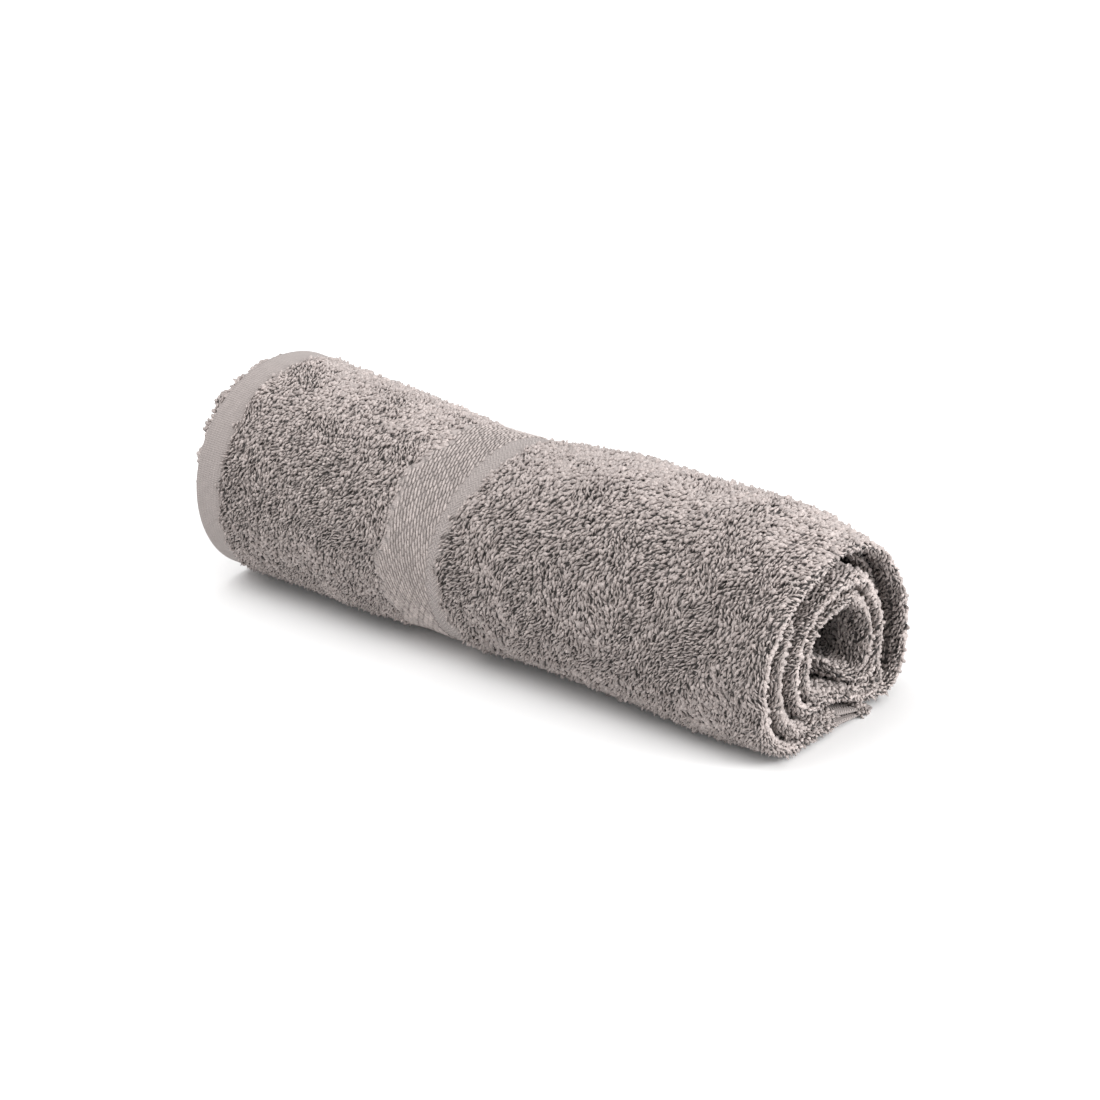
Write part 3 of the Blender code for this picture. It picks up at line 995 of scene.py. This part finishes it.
weave = {
    "flatColour": (0.32, 0.281, 0.268),
    "bandColour": (0.28, 0.245, 0.233),    # between the band's floats, darker than the flat weave: painted shade in the gaps
    "edgeLift": 0.12,                      # how much lighter the band's plain edge is
    # the pile's ground: nearly black, painted shade under and between the loops, with lighter grains
    "groundColour": (0.035, 0.030, 0.028),
    "grainColour": (0.36, 0.315, 0.30),
    "grains": 560.0,                       # for each metre
    "grainEdges": (0.62, 0.12),            # where a grain ends and where it is full
    "roughness": 0.9,
    "sheen": 0.1,
    "flatFrom": 0.5 * mm,                  # how far the flat weave reaches under the pile
    "floatsAfter": 8.0 * mm,               # the floats' ground starts this far before the band's mean edge
    "clouds": (300.0, 0.86, 0.28),         # for each metre, darkest, how much lighter the lightest
    "ribs": 1100.0,                        # for each metre
    "ribShare": 0.5,
    "pickShare": 0.25,
    "lineTint": 0.16,
    "plainFrom": 24.0 * mm,                # where the band's plain edge starts, from its other edge
    "zigzagWidth": 2.6 * mm,
    "zigzags": 520.0,
    "zigzagTint": 0.17,
    "zigzagRelief": 1.2,
    "puckers": 155.0,                      # slanted creases at the band's first edge
    "puckerSlant": 90.0,
    "puckerWander": 0.25,
    "puckerSharpness": 4.0,
    "puckerReach": (9.0 * mm, 2.0 * mm, -4.0 * mm),        # none, all, none again
    # the creases painted darker and the cloth between them lighter: painted shade and painted light
    "puckerShading": 0.3,
    "puckerRelief": 2.5,
    "grainRelief": 3.0,
    "bump": 0.7,
    "relief": 0.35 * mm,
}


def clothWeave():
    plain = {"Roughness": weave["roughness"], "Sheen Weight": weave["sheen"]}
    material, tree, shader = newMaterial("flatWeave", plain)
    place = tree.node("ShaderNodeUVMap", {"uv_map": "clothUV"})
    tree.node("ShaderNodeSeparateXYZ", None, {0: place})
    u, v = tree.out("X"), tree.out("Y")
    fromFlat, intoBand = tree.shaded("fromFlat"), tree.shaded("intoBand")
    fromSide = tree.math("MINIMUM", v, cloth["width"] - v)

    def within(value, edge):               # 1 below the edge
        return tree.math("LESS_THAN", value, edge)

    def ramp(value, low, high):            # 0 at low, 1 at high
        return tree.node("ShaderNodeMapRange", None, {"Value": value, "From Min": low, "From Max": high})

    def paint(name):
        return *weave[name], 1.0

    flat = tree.math("MAXIMUM", within(fromFlat, weave["flatFrom"]), within(fromSide, cloth["sideHem"]))
    clouds, darkest, lighter = weave["clouds"]
    cloudy = tree.noise(place, clouds, 3.0)
    # the pile's ground: lighter grains ringed by near black, painted shade under the loops
    cells = tree.node("ShaderNodeTexVoronoi", None, {"Vector": place, "Scale": weave["grains"]})
    grain = ramp(cells, *weave["grainEdges"])
    ground = tree.mixed(grain, paint("groundColour"), paint("grainColour"))
    start = bandEdges["from"] * mm + halfLength - weave["floatsAfter"]
    floats = within(u, band["ridgesTo"] + halfLength) - within(intoBand, band["margin"])
    woven = tree.mixed(floats * (1.0 - within(u, start)), paint("flatColour"), paint("bandColour"))
    colour = tree.mixed(flat, ground, woven)

    ribs = tree.math("SINE", v * (weave["ribs"] * 2 * math.pi))
    picks = tree.math("SINE", u * (weave["ribs"] * math.pi))
    lines = (ribs * weave["ribShare"] + picks * weave["pickShare"]) * flat
    none, every, before = weave["puckerReach"]
    slanted = v * weave["puckers"] + intoBand * weave["puckerSlant"] + cloudy * weave["puckerWander"]
    puckers = tree.math("PINGPONG", slanted, 0.5) * 2.0
    puckers = 1.0 - 2.0 * (1.0 - puckers) ** weave["puckerSharpness"]
    puckers = ramp(intoBand, none, every) * (1.0 - within(intoBand, before)) * puckers
    plainEdge = within(0.0 - intoBand, -weave["plainFrom"]) * within(fromFlat, 0.0)
    fold = tree.math("PINGPONG", u, weave["zigzagWidth"])
    zigzag = tree.math("SINE", (v + fold) * (weave["zigzags"] * 2 * math.pi)) * plainEdge

    tint = 1.0 + plainEdge * weave["edgeLift"] + zigzag * weave["zigzagTint"]
    # the puckers' tint is painted shade in the creases and painted light between them
    tint = tint + lines * weave["lineTint"] + puckers * weave["puckerShading"]
    colour = tree.vector("SCALE", colour, (darkest + lighter * cloudy) * tint)
    relief = zigzag * weave["zigzagRelief"] + lines + cloudy * flat
    relief = relief + (1.0 - flat) * grain * weave["grainRelief"] + puckers * weave["puckerRelief"]
    sockets = {"Strength": weave["bump"], "Distance": weave["relief"], "Height": relief}
    bump = tree.node("ShaderNodeBump", None, sockets)
    tree.nodeTree.links.new(colour.socket, shader.inputs["Base Color"])
    tree.nodeTree.links.new(bump.socket, shader.inputs["Normal"])
    return material


towelCloth.data.materials.append(clothWeave())
for obj in [towelCloth] + pieces:
    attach(obj, "root")
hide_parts("towel_roll")


# Floor, light and camera

studio = {
    "floor": (0.9, 0.9, 0.9, 1.0),
    "floorRoughness": 0.9,
    "floorSide": 6.0,
    "world": 0.78,
    "keyPower": 31.0,
    "keySize": 1.6,
    "keyPlace": (-0.7, -0.7, 1.9),
    "fillPower": 58.0,
    "fillPlace": (2.0, 0.9, 0.9),
}
view = {
    "yaw": -38.88,                         # degrees
    "pitch": 24.58,
    "distance": 2.1435,
    "lens": 141.83,
    "sensor": 36.0,
    "nearest": 0.05,
    "target": (4.9 * mm, -4.7 * mm, 51.8 * mm),
}


def buildStudio():
    side = studio["floorSide"]
    corners = [(-side, -side, 0), (side, -side, 0), (side, side, 0), (-side, side, 0)]
    floor = newMesh("floor", corners, [(0, 1, 2, 3)])
    plain = {"Base Color": studio["floor"], "Roughness": studio["floorRoughness"], "Specular IOR Level": 0.0}
    floor.data.materials.append(newMaterial("paleFloor", plain)[0])
    world = bpy.data.worlds.new("studio")
    world.use_nodes = True
    background = world.node_tree.nodes["Background"]
    background.inputs["Color"].default_value = (1.0, 1.0, 1.0, 1.0)
    background.inputs["Strength"].default_value = studio["world"]
    bpy.context.scene.world = world
    for name in ("key", "fill"):
        data = bpy.data.lights.new(name, "AREA")
        data.energy = studio[name + "Power"]
        data.size = studio["keySize"]
        light = bpy.data.objects.new(name, data)
        light.location = studio[name + "Place"]
        light.rotation_euler = (-Vector(light.location)).to_track_quat("-Z", "Y").to_euler()
        bpy.context.scene.collection.objects.link(light)


def buildCamera():
    yaw, pitch = math.radians(view["yaw"]), math.radians(view["pitch"])
    forward = Vector((math.sin(yaw) * math.cos(pitch), math.cos(yaw) * math.cos(pitch), -math.sin(pitch)))
    right = Vector((math.cos(yaw), -math.sin(yaw), 0.0))
    up = right.cross(forward)
    place = Vector(view["target"]) - forward * view["distance"]
    data = bpy.data.cameras.new("camera")
    data.lens = view["lens"]
    data.sensor_width = view["sensor"]
    data.clip_start = view["nearest"]
    camera = bpy.data.objects.new("camera", data)
    turn = Matrix((right, up, -forward)).transposed().to_4x4()
    camera.matrix_world = Matrix.Translation(place) @ turn
    bpy.context.scene.collection.objects.link(camera)
    bpy.context.scene.camera = camera


buildStudio()
buildCamera()
bpy.context.scene.view_settings.view_transform = "Standard"
